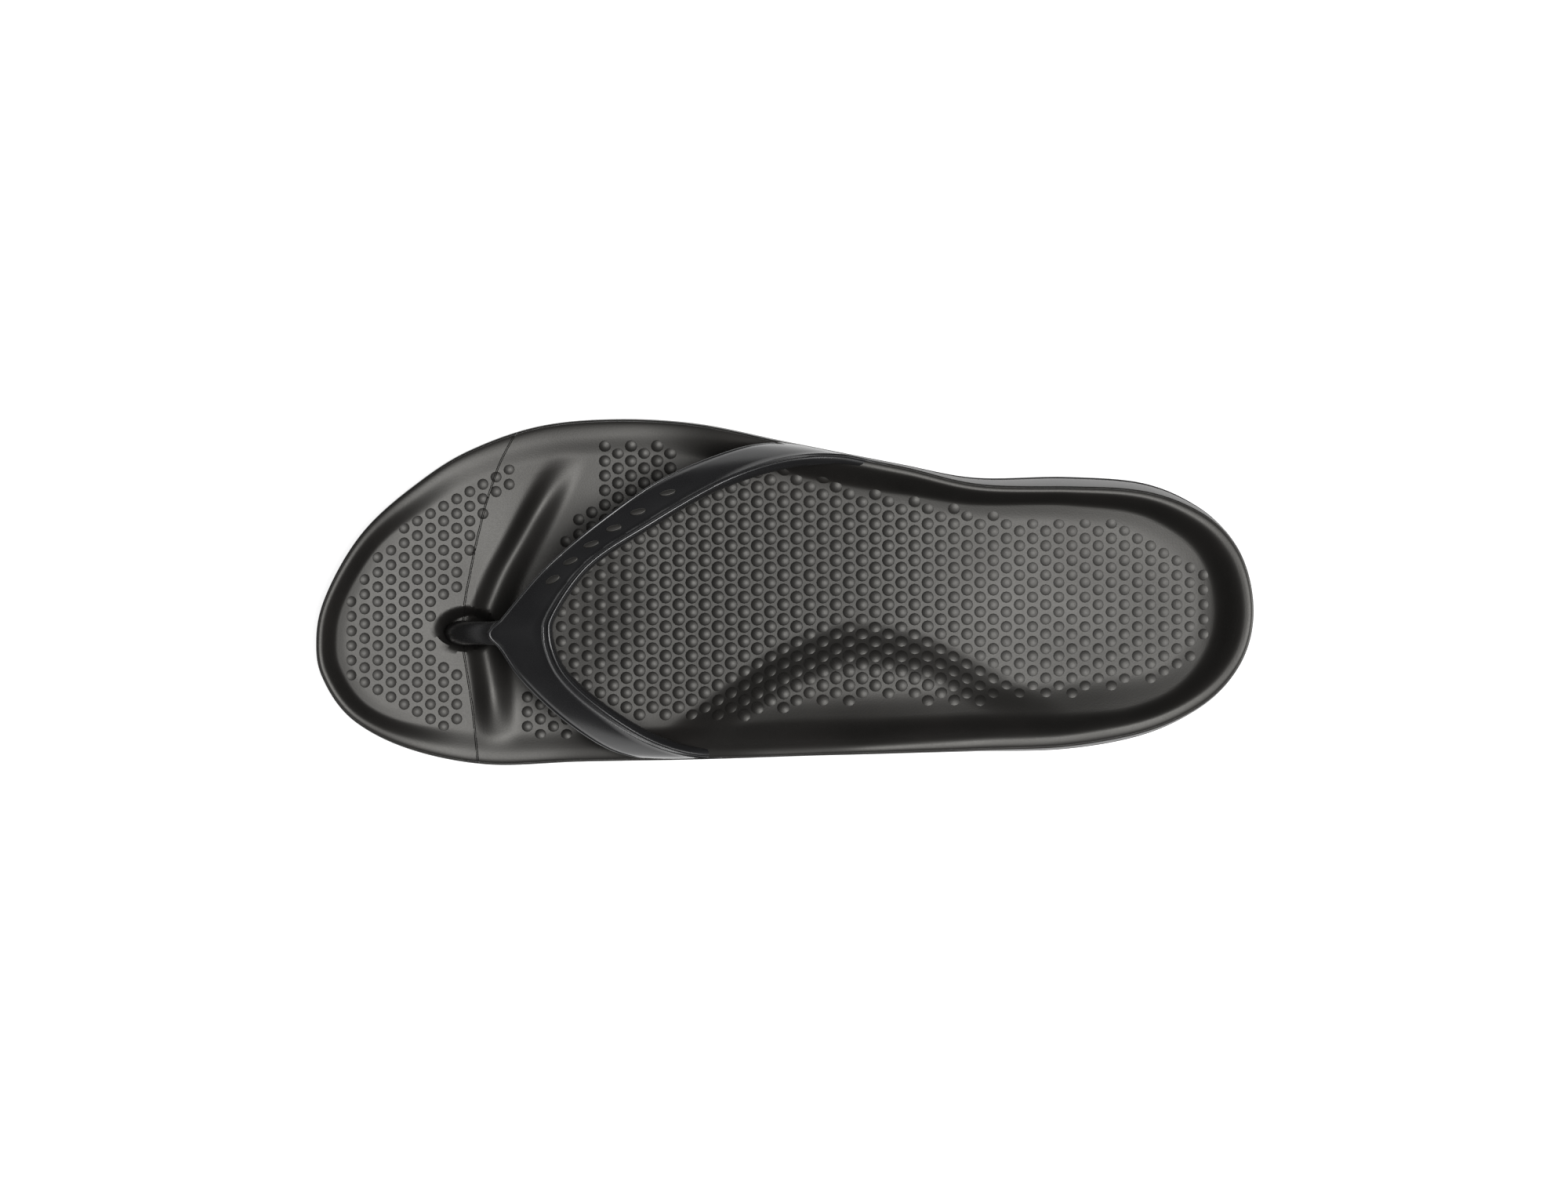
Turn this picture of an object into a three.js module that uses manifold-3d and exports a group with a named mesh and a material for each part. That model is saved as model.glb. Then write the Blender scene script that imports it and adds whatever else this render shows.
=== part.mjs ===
// A right-foot flip flop: a contoured foam midsole on a thin outsole, with a moulded Y strap
// whose toe post is anchored between the two. The sole bends at the ball of the foot, so the
// midsole and the outsole are each cut there into a rear and a forefoot piece.
//
// Millimetres. +X runs from toe to heel, +Y to the outer (little toe) side, +Z up.
// The origin is on the ground, in the middle of the sole's length and width.

import * as THREE from "three";
import { mergeVertices } from "three/addons/utils/BufferGeometryUtils.js";
import Module from "manifold-3d";

const wasm = await Module();
wasm.setup();

// ---------------------------------------------------------------- driving dimensions
const LENGTH = 285; // overall, toe to heel
const WIDTH = 105.5; // overall, across the ball
const CLEARANCE = 0.3; // between pieces that are bonded or seated

const OUTSOLE_THICKNESS = 6;
const TOE_SPRING = 9; // rise of the outsole at the toe tip
const TOE_SPRING_START = 0.26; // where the rise starts, as a share of the length from the toe
const HEEL_BEVEL = 2.5; // rise of the outsole at the back of the heel
const HEEL_BEVEL_START = 0.94;

const BED_AT_TOES = 15.5; // footbed heights over the outsole's underside
const BED_AT_BALL = 18.5;
const BED_AT_HEEL = 26;
const RIM_AT_TOES = 21; // rim heights over the outsole's underside
const RIM_BESIDE_TOES = 17.5;
const RIM_AT_BALL = 20.5;
const RIM_AT_HEEL = 34.5;
const RIM_AT_ARCH = 41; // on the inner side, where the rim is highest
const RIM_WIDTH = 3; // flat crest of the rim
const RIM_SLOPE = 10; // width of the slope from the crest down to the footbed
const WALL_LEAN = 0.6; // how far the rim stands in from the foot of the side wall
const HEEL_FLARE = 3.2; // extra lean on the outer side of the heel

const ARCH_RISE = 6.5; // height of the arch mound over the footbed
const ARCH_SLOPE = 15; // width of the mound's flank
const TOE_BAR_RISE = 3; // cross ridge that the toes grip
const TOE_BAR_HALF_WIDTH = 8;

const STRAP_THICKNESS = 4;
const STRAP_CROWN = 1.1; // how far the strap's outer face bows out
const STRAP_LIFT = 0; // raises or lowers the whole bridge of the strap

const POST_LENGTH = 11; // toe post section, along the foot
const POST_WIDTH = 7; // and across it
const POST_LEAN = 14; // how far the post's top stands behind its foot
const ANCHOR_LENGTH = 26; // flange under the midsole
const ANCHOR_WIDTH = 18;
const ANCHOR_THICKNESS = 3;
const SOCKET_MARGIN = 2.6; // recess in the footbed around the post
const SOCKET_DEPTH = 2.5;

const FLEX_AT = 0.339; // where the sole bends, as a share of the length from the toe
const FLEX_HEIGHT = 19; // the bending axis, just over the footbed
const FLEX_ANGLE = 35; // degrees that the forefoot can rise

const GROOVE_WIDTH = 2.2; // cross grooves of the tread
const GROOVE_DEPTH = 1.6;
const GROOVE_PITCH = 13;

// Places on the sole, as shares: u runs 0 at the toe tip to 1 at the heel, v is -0.5 on the
// inner side and 0.5 on the outer.
const along = (u) => (u - 0.5) * LENGTH;
const across = (v) => v * WIDTH;
const shareAlong = (x) => x / LENGTH + 0.5;

// The plan outline, anticlockwise from the back of the heel.
const OUTLINE = [
  [1.0, -0.065],
  [0.983, 0.131],
  [0.943, 0.245],
  [0.883, 0.315],
  [0.802, 0.333],
  [0.702, 0.331],
  [0.622, 0.371],
  [0.502, 0.435],
  [0.402, 0.489],
  [0.321, 0.5],
  [0.24, 0.481],
  [0.161, 0.408],
  [0.101, 0.303],
  [0.049, 0.172],
  [0.008, -0.025],
  [0.0, -0.14],
  [0.006, -0.245],
  [0.041, -0.376],
  [0.101, -0.458],
  [0.181, -0.5],
  [0.281, -0.492],
  [0.4, -0.485],
  [0.55, -0.471],
  [0.702, -0.463],
  [0.803, -0.455],
  [0.883, -0.415],
  [0.943, -0.338],
  [0.983, -0.225],
];

// The strap's ribs from the outer root to the inner root: its front edge, then its rear edge,
// each as u, v and height.
const STRAP_RIBS = [
  [[0.511, 0.432, 9], [0.607, 0.383, 9]],
  [[0.5, 0.436, 18], [0.588, 0.388, 23]],
  [[0.489, 0.434, 26], [0.56, 0.388, 33]],
  [[0.451, 0.419, 33.5], [0.511, 0.38, 41]],
  [[0.374, 0.325, 43], [0.444, 0.313, 47]],
  [[0.304, 0.18, 47.5], [0.356, 0.18, 51.5]],
  [[0.24, 0.041, 46.5], [0.29, 0.048, 52]],
  [[0.189, -0.12, 42.5], [0.25, -0.12, 49.5]],
  [[0.216, -0.235, 41], [0.267, -0.242, 47]],
  [[0.258, -0.36, 35.5], [0.306, -0.337, 43]],
  [[0.309, -0.454, 27], [0.366, -0.438, 37]],
  [[0.343, -0.482, 20], [0.423, -0.474, 31]],
  [[0.358, -0.489, 14], [0.457, -0.477, 21]],
  [[0.362, -0.49, 9], [0.47, -0.476, 9]],
];

const STRAP_APEX = STRAP_RIBS[7];
const POST_FOOT = [0.157, -0.118]; // centre of the toe post at the footbed
const TOE_BAR = [
  // crest of the toe bar, as v then u
  [-0.46, 0.192],
  [-0.28, 0.187],
  [-0.1, 0.176],
  [0.05, 0.198],
  [0.16, 0.221],
  [0.35, 0.258],
];
const ARCH_FOOT = [
  // where the arch mound starts to rise, as u then v
  [0.36, -0.42],
  [0.44, -0.247],
  [0.499, -0.134],
  [0.574, -0.066],
  [0.649, -0.105],
  [0.733, -0.22],
  [0.82, -0.4],
];

// ---------------------------------------------------------------- small maths
const smooth = (t) => {
  const c = THREE.MathUtils.clamp(t, 0, 1);
  return c * c * (3 - 2 * c);
};

// Reads a table of [place, value] rows, easing from each row to the next.
function read(table, place) {
  const last = table.length - 1;
  if (place <= table[0][0]) return table[0][1];
  if (place >= table[last][0]) return table[last][1];
  const i = table.findIndex(([p]) => p > place);
  const [p0, v0] = table[i - 1];
  const [p1, v1] = table[i];
  return THREE.MathUtils.lerp(v0, v1, smooth((place - p0) / (p1 - p0)));
}

// ---------------------------------------------------------------- heights of the sole
function groundHeight(x) {
  const u = shareAlong(x);
  const toe = Math.max(0, (TOE_SPRING_START - u) / TOE_SPRING_START);
  const heel = Math.max(0, (u - HEEL_BEVEL_START) / (1 - HEEL_BEVEL_START));
  return TOE_SPRING * toe * toe + HEEL_BEVEL * heel * heel;
}

const BED_HEIGHTS = [
  [0, BED_AT_TOES],
  [0.12, BED_AT_TOES],
  [0.36, BED_AT_BALL],
  [0.62, BED_AT_HEEL - 1],
  [0.78, BED_AT_HEEL],
];
const OUTER_RIM = [
  [0, RIM_AT_TOES],
  [0.1, RIM_BESIDE_TOES],
  [0.34, RIM_AT_BALL],
  [0.4, RIM_AT_BALL],
  [0.58, RIM_AT_HEEL - 1],
  [0.72, RIM_AT_HEEL],
];
const INNER_RIM = [
  [0, RIM_AT_TOES],
  [0.1, RIM_BESIDE_TOES],
  [0.32, RIM_AT_BALL],
  [0.46, RIM_AT_HEEL],
  [0.58, RIM_AT_ARCH],
  [0.72, RIM_AT_ARCH],
  [0.88, RIM_AT_HEEL],
];

// side is 1 on the outer edge of the sole, 0 on the inner edge, and between at toe and heel.
const rimHeight = (u, side) => THREE.MathUtils.lerp(read(INNER_RIM, u), read(OUTER_RIM, u), side);

function bedHeight(x, y) {
  const u = shareAlong(x);
  const archFoot = across(read(ARCH_FOOT, u));
  const arch = ARCH_RISE * smooth((archFoot - y) / ARCH_SLOPE);
  const bar = along(read(TOE_BAR, y / WIDTH));
  const off = Math.min(1, Math.abs(x - bar) / TOE_BAR_HALF_WIDTH);
  const barEnds = smooth((0.4 - Math.abs(y / WIDTH + 0.04)) / 0.1);
  const toeBar = TOE_BAR_RISE * barEnds * Math.cos((off * Math.PI) / 2) ** 2;
  return groundHeight(x) + read(BED_HEIGHTS, u) + arch + toeBar;
}

// ---------------------------------------------------------------- solids
// Rows of points of equal length, each row a closed loop, joined into one closed skin. The
// first and last rows are collapsed ones, or are filled flat.
function skin(rows, fillEnds = false) {
  const count = rows[0].length;
  const points = rows.flat();
  const faces = [];
  for (let r = 0; r + 1 < rows.length; r++)
    for (let i = 0; i < count; i++) {
      const j = (i + 1) % count;
      const [a, b, c, d] = [r * count + i, r * count + j, (r + 1) * count + j, (r + 1) * count + i];
      faces.push([a, b, c], [a, c, d]);
    }
  if (fillEnds)
    for (const [row, turned] of [
      [0, true],
      [rows.length - 1, false],
    ]) {
      const centre = new THREE.Vector3();
      for (const p of rows[row]) centre.addScaledVector(p, 1 / count);
      const middle = points.push(centre) - 1;
      for (let i = 0; i < count; i++) {
        const [a, b] = [row * count + i, row * count + ((i + 1) % count)];
        faces.push(turned ? [b, a, middle] : [a, b, middle]);
      }
    }
  const geometry = new THREE.BufferGeometry().setFromPoints(points);
  geometry.setIndex(faces.flat());
  return solidOf(geometry);
}

function solidOf(geometry) {
  geometry.deleteAttribute("normal");
  geometry.deleteAttribute("uv");
  const merged = mergeVertices(geometry, 1e-4);
  const index = merged.index.array;
  const kept = [];
  for (let i = 0; i < index.length; i += 3) {
    const [a, b, c] = [index[i], index[i + 1], index[i + 2]];
    if (a !== b && b !== c && c !== a) kept.push(a, b, c);
  }
  return new wasm.Manifold(
    new wasm.Mesh({
      numProp: 3,
      vertProperties: new Float32Array(merged.attributes.position.array),
      triVerts: new Uint32Array(kept),
    }),
  );
}

function geometryOf(solid) {
  const mesh = solid.getMesh();
  const geometry = new THREE.BufferGeometry();
  geometry.setAttribute("position", new THREE.BufferAttribute(mesh.vertProperties, 3));
  geometry.setIndex(new THREE.BufferAttribute(mesh.triVerts, 1));
  const faceted = geometry.toNonIndexed();
  faceted.computeVertexNormals();
  return faceted;
}

// A profile in the X-Z plane, run right across the sole.
function acrossSole(corners) {
  const shape = new THREE.Shape(corners.map(([x, z]) => new THREE.Vector2(x, z)));
  const span = 2 * WIDTH;
  const geometry = new THREE.ExtrudeGeometry(shape, { depth: span, bevelEnabled: false });
  return solidOf(geometry.rotateX(Math.PI / 2).translate(0, span / 2, 0));
}

// ---------------------------------------------------------------- plan of the sole
const SPINE_V = -0.06;
const HEEL_CENTRE = 0.86;
const TOE_CENTRE = 0.17;
const SIDE_COLUMNS = 26;
const HEEL_COLUMNS = 14;
const TOE_COLUMNS = 18;
const OUTLINE_STEPS = 480;

const outline = outlinePoints();
const columns = columnsOfSole();

// The outline as a dense loop, centred and at exactly the overall length and width.
function outlinePoints() {
  const curve = new THREE.CatmullRomCurve3(
    OUTLINE.map(([u, v]) => new THREE.Vector3(along(u), across(v), 0)),
    true,
    "centripetal",
  );
  const points = curve.getPoints(OUTLINE_STEPS).slice(0, OUTLINE_STEPS);
  const box = new THREE.Box3().setFromPoints(points);
  const size = box.getSize(new THREE.Vector3());
  const middle = box.getCenter(new THREE.Vector3());
  return points.map(
    (p) =>
      new THREE.Vector2(((p.x - middle.x) * LENGTH) / size.x, ((p.y - middle.y) * WIDTH) / size.y),
  );
}

// Distance from a point to the outline, the way a direction points.
function reachTo(origin, direction) {
  let reach = 0;
  outline.forEach((a, i) => {
    const b = outline[(i + 1) % outline.length];
    const edge = b.clone().sub(a);
    const turn = direction.cross(edge);
    if (Math.abs(turn) < 1e-9) return;
    const gap = a.clone().sub(origin);
    const onEdge = gap.cross(direction) / turn;
    if (onEdge >= 0 && onEdge <= 1) reach = Math.max(reach, gap.cross(edge) / turn);
  });
  return reach;
}

// Straight lines from the sole's spine out to its outline, anticlockwise from the inner side
// of the heel: a fan at each end and square across between.
function columnsOfSole() {
  const made = [];
  const add = (u, degrees) => {
    const angle = THREE.MathUtils.degToRad(degrees);
    const origin = new THREE.Vector2(along(u), across(SPINE_V));
    const direction = new THREE.Vector2(Math.cos(angle), Math.sin(angle));
    const side = (1 + direction.y) / 2;
    made.push({ origin, direction, side, reach: reachTo(origin, direction) });
  };
  const step = (HEEL_CENTRE - TOE_CENTRE) / SIDE_COLUMNS;
  for (let i = 0; i < HEEL_COLUMNS; i++) add(HEEL_CENTRE, -90 + (180 * i) / HEEL_COLUMNS);
  for (let i = 0; i < SIDE_COLUMNS; i++) add(HEEL_CENTRE - i * step, 90);
  for (let i = 0; i < TOE_COLUMNS; i++) add(TOE_CENTRE, 90 + (180 * i) / TOE_COLUMNS);
  for (let i = 0; i < SIDE_COLUMNS; i++) add(TOE_CENTRE + i * step, 270);
  return made;
}

// One loop of points round the sole: place(column) gives how far in from the outline a point
// is, and height(x, y, column) how high.
function loop(inset, height) {
  return columns.map((column) => {
    const out = column.reach - inset(column);
    const x = column.origin.x + column.direction.x * out;
    const y = column.origin.y + column.direction.y * out;
    return new THREE.Vector3(x, y, height(x, y, column));
  });
}

const edgeShare = (c) => shareAlong(c.origin.x + c.direction.x * c.reach);
const lean = (c) =>
  WALL_LEAN + HEEL_FLARE * smooth((c.side - 0.1) / 0.7) * smooth((edgeShare(c) - 0.5) / 0.16);

// ---------------------------------------------------------------- outsole and midsole
// The loops of the flat faces where the two are bonded, from the edge to the spine.
const bondLoops = (height) => [
  loop(() => 0.5, height),
  ...[0.15, 0.4, 0.7, 1].map((share) => loop((c) => c.reach * share, height)),
];

function outsole() {
  const edgeRound = 1.5;
  const top = (x) => groundHeight(x) + OUTSOLE_THICKNESS;
  const whole = skin([
    loop((c) => c.reach, groundHeight),
    loop((c) => c.reach * 0.7, groundHeight),
    loop((c) => c.reach * 0.4, groundHeight),
    loop(() => 2 * edgeRound, groundHeight),
    loop(() => edgeRound * 0.3, (x) => groundHeight(x) + edgeRound * 0.7),
    loop(() => 0, (x) => groundHeight(x) + 2 * edgeRound),
    loop(() => 0, top),
    ...bondLoops(top),
  ]);
  return treadGrooves().reduce((sole, groove) => sole.subtract(groove), whole);
}

// Straight grooves across the tread under the forefoot and under the heel.
function treadGrooves() {
  const runs = [
    [TOE_SPRING_START * 0.9, 0.46],
    [0.68, HEEL_BEVEL_START],
  ];
  return runs.flatMap(([from, to]) => {
    const count = Math.floor((along(to) - along(from)) / GROOVE_PITCH);
    return Array.from({ length: count + 1 }, (_, i) => {
      const x = along(from) + i * GROOVE_PITCH;
      const half = GROOVE_WIDTH / 2;
      const top = groundHeight(x) + GROOVE_DEPTH;
      return acrossSole([
        [x - half, -GROOVE_DEPTH],
        [x + half, -GROOVE_DEPTH],
        [x + half * 0.7, top],
        [x - half * 0.7, top],
      ]);
    });
  });
}

const midsoleBottom = (x) => groundHeight(x) + OUTSOLE_THICKNESS + CLEARANCE;

function midsole() {
  const crest = (x, y, c) => groundHeight(x) + rimHeight(shareAlong(x), c.side);
  const shoulder = 1.2;
  const wallHeight = (share) => (x, y, c) =>
    THREE.MathUtils.lerp(midsoleBottom(x), crest(x, y, c) - shoulder, share);
  const footOfSlope = (c) => lean(c) + RIM_WIDTH + RIM_SLOPE;
  // Falls from the crest at share 0 to the footbed at share 1.
  const slope = (share) =>
    loop(
      (c) => lean(c) + RIM_WIDTH + share * RIM_SLOPE,
      (x, y, c) => THREE.MathUtils.lerp(crest(x, y, c), bedHeight(x, y), smooth(share)),
    );
  const bed = (share) => loop((c) => c.reach - share * (c.reach - footOfSlope(c)), bedHeight);
  return skin([
    ...bondLoops(midsoleBottom).reverse(),
    loop((c) => 0.5 + lean(c) * 0.35, wallHeight(0.45)),
    loop((c) => lean(c), wallHeight(1)),
    loop((c) => lean(c) + shoulder * 0.8, crest),
    slope(0),
    slope(0.25),
    slope(0.5),
    slope(0.75),
    slope(1),
    bed(0.84),
    bed(0.68),
    bed(0.5),
    bed(0.32),
    bed(0.15),
    bed(0),
  ]);
}

// ---------------------------------------------------------------- strap and toe post
const STRAP_STEPS = 56;

// The band swept over its ribs. grow thickens it all round, which makes its own cutter.
function strapBand(grow = 0) {
  const edge = (k) =>
    new THREE.CatmullRomCurve3(
      STRAP_RIBS.map(
        (rib) =>
          new THREE.Vector3(
            along(rib[k][0]),
            across(rib[k][1]),
            rib[k][2] + STRAP_LIFT * smooth((rib[k][2] - RIM_AT_HEEL) / 10),
          ),
      ),
      false,
      "centripetal",
    );
  const [front, rear] = [edge(0), edge(1)];
  const rows = [];
  for (let i = 0; i <= STRAP_STEPS; i++) {
    const t = i / STRAP_STEPS;
    const f = front.getPoint(t);
    const r = rear.getPoint(t);
    const span = r.clone().sub(f);
    const width = span.length();
    span.normalize();
    const run = front.getTangent(t).add(rear.getTangent(t)).normalize();
    const out = new THREE.Vector3().crossVectors(run, span).normalize();
    const endward = i === 0 ? -grow : i === STRAP_STEPS ? grow : 0;
    const at = (share, depth) =>
      f
        .clone()
        .addScaledVector(span, THREE.MathUtils.lerp(-grow, width + grow, share))
        .addScaledVector(out, depth + STRAP_CROWN * 4 * share * (1 - share) - STRAP_CROWN)
        .addScaledVector(run, endward);
    const inner = -STRAP_THICKNESS - grow;
    rows.push([
      at(0.03, inner + 0.8),
      at(0.2, inner),
      at(0.5, inner),
      at(0.8, inner),
      at(0.97, inner + 0.8),
      at(1, -STRAP_THICKNESS / 2),
      at(0.97, grow - 0.8),
      at(0.88, grow),
      at(0.63, grow),
      at(0.37, grow),
      at(0.12, grow),
      at(0.03, grow - 0.8),
      at(0, -STRAP_THICKNESS / 2),
    ]);
  }
  return skin(rows, true);
}

// Oval loop in plan, for the post and its anchor. heightAt gives its height at any x.
function oval(x, y, heightAt, length, width) {
  const steps = 24;
  return Array.from({ length: steps }, (_, i) => {
    const a = (2 * Math.PI * i) / steps;
    const [px, py] = [x + (length / 2) * Math.cos(a), y + (width / 2) * Math.sin(a)];
    return new THREE.Vector3(px, py, heightAt(px));
  });
}

// The post with its flange. It runs up into the strap, and is then cut back from it.
function toePost(grow = 0) {
  const [x, y] = [along(POST_FOOT[0]), across(POST_FOOT[1])];
  const foot = (px) => midsoleBottom(px) - grow;
  const flange = (px) => midsoleBottom(px) + ANCHOR_THICKNESS + grow;
  const bed = bedHeight(x, y);
  // The middle of the strap's thickness at its apex, where the post ends.
  const top = (px) => {
    const [[u0, , z0], [u1, , z1]] = STRAP_APEX;
    const height = THREE.MathUtils.mapLinear(shareAlong(px), u0, u1, z0, z1);
    return height + STRAP_LIFT - STRAP_THICKNESS / 2;
  };
  const section = (shift, heightAt, swell) =>
    oval(x + shift, y, heightAt, POST_LENGTH + swell + 2 * grow, POST_WIDTH + swell + 2 * grow);
  const risen = (share, swell) => {
    const heightAt = (px) => THREE.MathUtils.lerp(bed, top(px), share);
    return section(POST_LEAN * smooth(share), heightAt, swell);
  };
  return skin(
    [
      oval(x, y, foot, ANCHOR_LENGTH + 2 * grow, ANCHOR_WIDTH + 2 * grow),
      oval(x, y, flange, ANCHOR_LENGTH + 2 * grow, ANCHOR_WIDTH + 2 * grow),
      section(0, flange, 0),
      risen(0, 0),
      risen(0.25, 0),
      risen(0.5, 0),
      risen(0.75, 0.5),
      risen(1, 1.5),
    ],
    true,
  );
}

// The recess around the post, open upwards.
function postSocket() {
  const [x, y] = [along(POST_FOOT[0]), across(POST_FOOT[1])];
  const bed = bedHeight(x, y);
  const [length, width] = [POST_LENGTH + 2 * SOCKET_MARGIN, POST_WIDTH + 2 * SOCKET_MARGIN];
  return skin(
    [
      oval(x, y, () => bed - SOCKET_DEPTH, length - 3, width - 3),
      oval(x, y, () => bed, length, width),
      oval(x, y, () => bed + 10, length + 6, width + 6),
    ],
    true,
  );
}

// ---------------------------------------------------------------- the cut at the ball
const flexX = along(FLEX_AT);
const HIGH = 100;
const behindFlex = acrossSole([
  [flexX + CLEARANCE / 2, -HIGH],
  [LENGTH, -HIGH],
  [LENGTH, HIGH],
  [flexX + CLEARANCE / 2, HIGH],
]);
// Over the axis this face leans forward by the flex angle, so that the raised forefoot
// closes up to the rear piece and doesn't pass into it.
const front = flexX - CLEARANCE / 2;
const leanOver = (HIGH - FLEX_HEIGHT) * Math.tan(THREE.MathUtils.degToRad(FLEX_ANGLE));
const aheadOfFlex = acrossSole([
  [-LENGTH, -HIGH],
  [front, -HIGH],
  [front, FLEX_HEIGHT],
  [front - leanOver, HIGH],
  [-LENGTH, HIGH],
]);

// ---------------------------------------------------------------- materials and assembly
const foam = new THREE.MeshStandardMaterial({ color: 0x2b2928, roughness: 0.55, metalness: 0 });
const tread = new THREE.MeshStandardMaterial({ color: 0x232122, roughness: 0.7, metalness: 0 });
const strapFinish = new THREE.MeshStandardMaterial({ color: 0x1d1d1e, roughness: 0.35, metalness: 0 });

const band = strapBand();
const bandCutter = strapBand(CLEARANCE);
const post = toePost().subtract(bandCutter);
const wholeMidsole = midsole().subtract(bandCutter).subtract(toePost(CLEARANCE)).subtract(postSocket());
const wholeOutsole = outsole();

const flipFlop = new THREE.Group();
function place(name, solid, material) {
  const mesh = new THREE.Mesh(geometryOf(solid), material);
  mesh.name = name;
  flipFlop.add(mesh);
}
place("midsole_rear", wholeMidsole.intersect(behindFlex), foam);
place("midsole_forefoot", wholeMidsole.intersect(aheadOfFlex), foam);
place("outsole_rear", wholeOutsole.intersect(behindFlex), tread);
place("outsole_forefoot", wholeOutsole.intersect(aheadOfFlex), tread);
place("strap_band", band, strapFinish);
place("toe_post", post, strapFinish);

export default flipFlop;
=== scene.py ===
"""A right-foot flip flop in black moulded foam. +X runs to the heel, +Y outwards, +Z up."""

import math

import bmesh
import bpy
import numpy as np
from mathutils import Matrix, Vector
from mathutils.bvhtree import BVHTree


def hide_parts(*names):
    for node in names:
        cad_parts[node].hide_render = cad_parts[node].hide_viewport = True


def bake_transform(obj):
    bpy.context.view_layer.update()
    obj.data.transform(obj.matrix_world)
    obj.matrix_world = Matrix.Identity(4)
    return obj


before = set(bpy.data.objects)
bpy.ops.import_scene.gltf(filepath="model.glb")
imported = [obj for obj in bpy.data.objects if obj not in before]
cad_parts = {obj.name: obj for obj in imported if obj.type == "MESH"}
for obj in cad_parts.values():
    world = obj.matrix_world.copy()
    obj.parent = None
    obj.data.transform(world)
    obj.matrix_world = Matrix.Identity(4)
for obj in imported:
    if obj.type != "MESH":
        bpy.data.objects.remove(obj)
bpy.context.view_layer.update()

# ---------------------------------------------------------------- outsole
# The ground layer: a sheet of dense rubber foam with wavy cross grooves moulded in for grip. It
# is bonded under the midsole, turns up at the toe and is bevelled at the back of the heel.
MM = 0.001
SOLE_LENGTH = 285.0
SOLE_WIDTH = 105.5
OUTSOLE_THICKNESS = 6.0
# The lower edge rounds over by the first of these, the upper one by the second.
OUTSOLE_EDGE = 3.0
OUTSOLE_TOP_EDGE = 0.4
TOE_SPRING = 9.0
TOE_SPRING_START = 0.26
HEEL_BEVEL = 2.5
HEEL_BEVEL_START = 0.94
GROOVE_HALF_WIDTH = 1.1
GROOVE_FLOOR = 0.7
GROOVE_DEPTH = 1.6
GROOVE_PITCH = 13.0
GROOVE_WAVE = 1.6
GROOVE_WAVELENGTH = 17.0
GROOVE_RUNS = [(0.234, 0.46), (0.68, 0.94)]
# The lines that the skin is laid on run out from a spine just inside the middle, and fan out past
# its two ends.
SPINE_OFFSET = -0.06
SPINE_HEEL_END = 0.36
SPINE_TOE_END = -0.33
WELD_DISTANCE = 1e-4
CUT_TOLERANCE = 1e-5

# The plan outline, anticlockwise from the back of the heel, as shares of length and width.
OUTLINE = [
    (1.0, -0.065), (0.983, 0.131), (0.943, 0.245), (0.883, 0.315), (0.802, 0.333),
    (0.702, 0.331), (0.622, 0.371), (0.502, 0.435), (0.402, 0.489), (0.321, 0.5),
    (0.24, 0.481), (0.161, 0.408), (0.101, 0.303), (0.049, 0.172), (0.008, -0.025),
    (0.0, -0.14), (0.006, -0.245), (0.041, -0.376), (0.101, -0.458), (0.181, -0.5),
    (0.281, -0.492), (0.4, -0.485), (0.55, -0.471), (0.702, -0.463), (0.803, -0.455),
    (0.883, -0.415), (0.943, -0.338), (0.983, -0.225),
]
OUTLINE_STEPS = 2400


def curve_through(points, steps, closed=False):
    """Points spread along a smooth curve that passes through the given ones."""
    p = np.array(points, float)
    if closed:
        p = np.vstack([p[-1:], p, p[:2]])
    else:
        p = np.vstack([2 * p[0] - p[1], p, 2 * p[-1] - p[-2]])
    t = np.concatenate([[0], np.cumsum(np.linalg.norm(np.diff(p, axis=0), axis=1) ** 0.5)])
    spans = len(p) - 3
    made = []
    for place in np.linspace(0, spans, steps, endpoint=not closed):
        i = min(int(place), spans - 1)
        s = t[i + 1] + (place - i) * (t[i + 2] - t[i + 1])
        level = p[i : i + 4]
        for starts, ends in (
            (t[i : i + 3], t[i + 1 : i + 4]),
            (t[i : i + 2], t[i + 2 : i + 4]),
            (t[i + 1 : i + 2], t[i + 2 : i + 3]),
        ):
            share = ((s - starts) / (ends - starts))[:, None]
            level = level[:-1] * (1 - share) + level[1:] * share
        made.append(level[0])
    return np.array(made)


def sole_outline():
    plan = curve_through(OUTLINE, OUTLINE_STEPS, closed=True)
    low, high = plan.min(0), plan.max(0)
    return (plan - (low + high) / 2) / (high - low) * (SOLE_LENGTH, SOLE_WIDTH)


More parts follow.
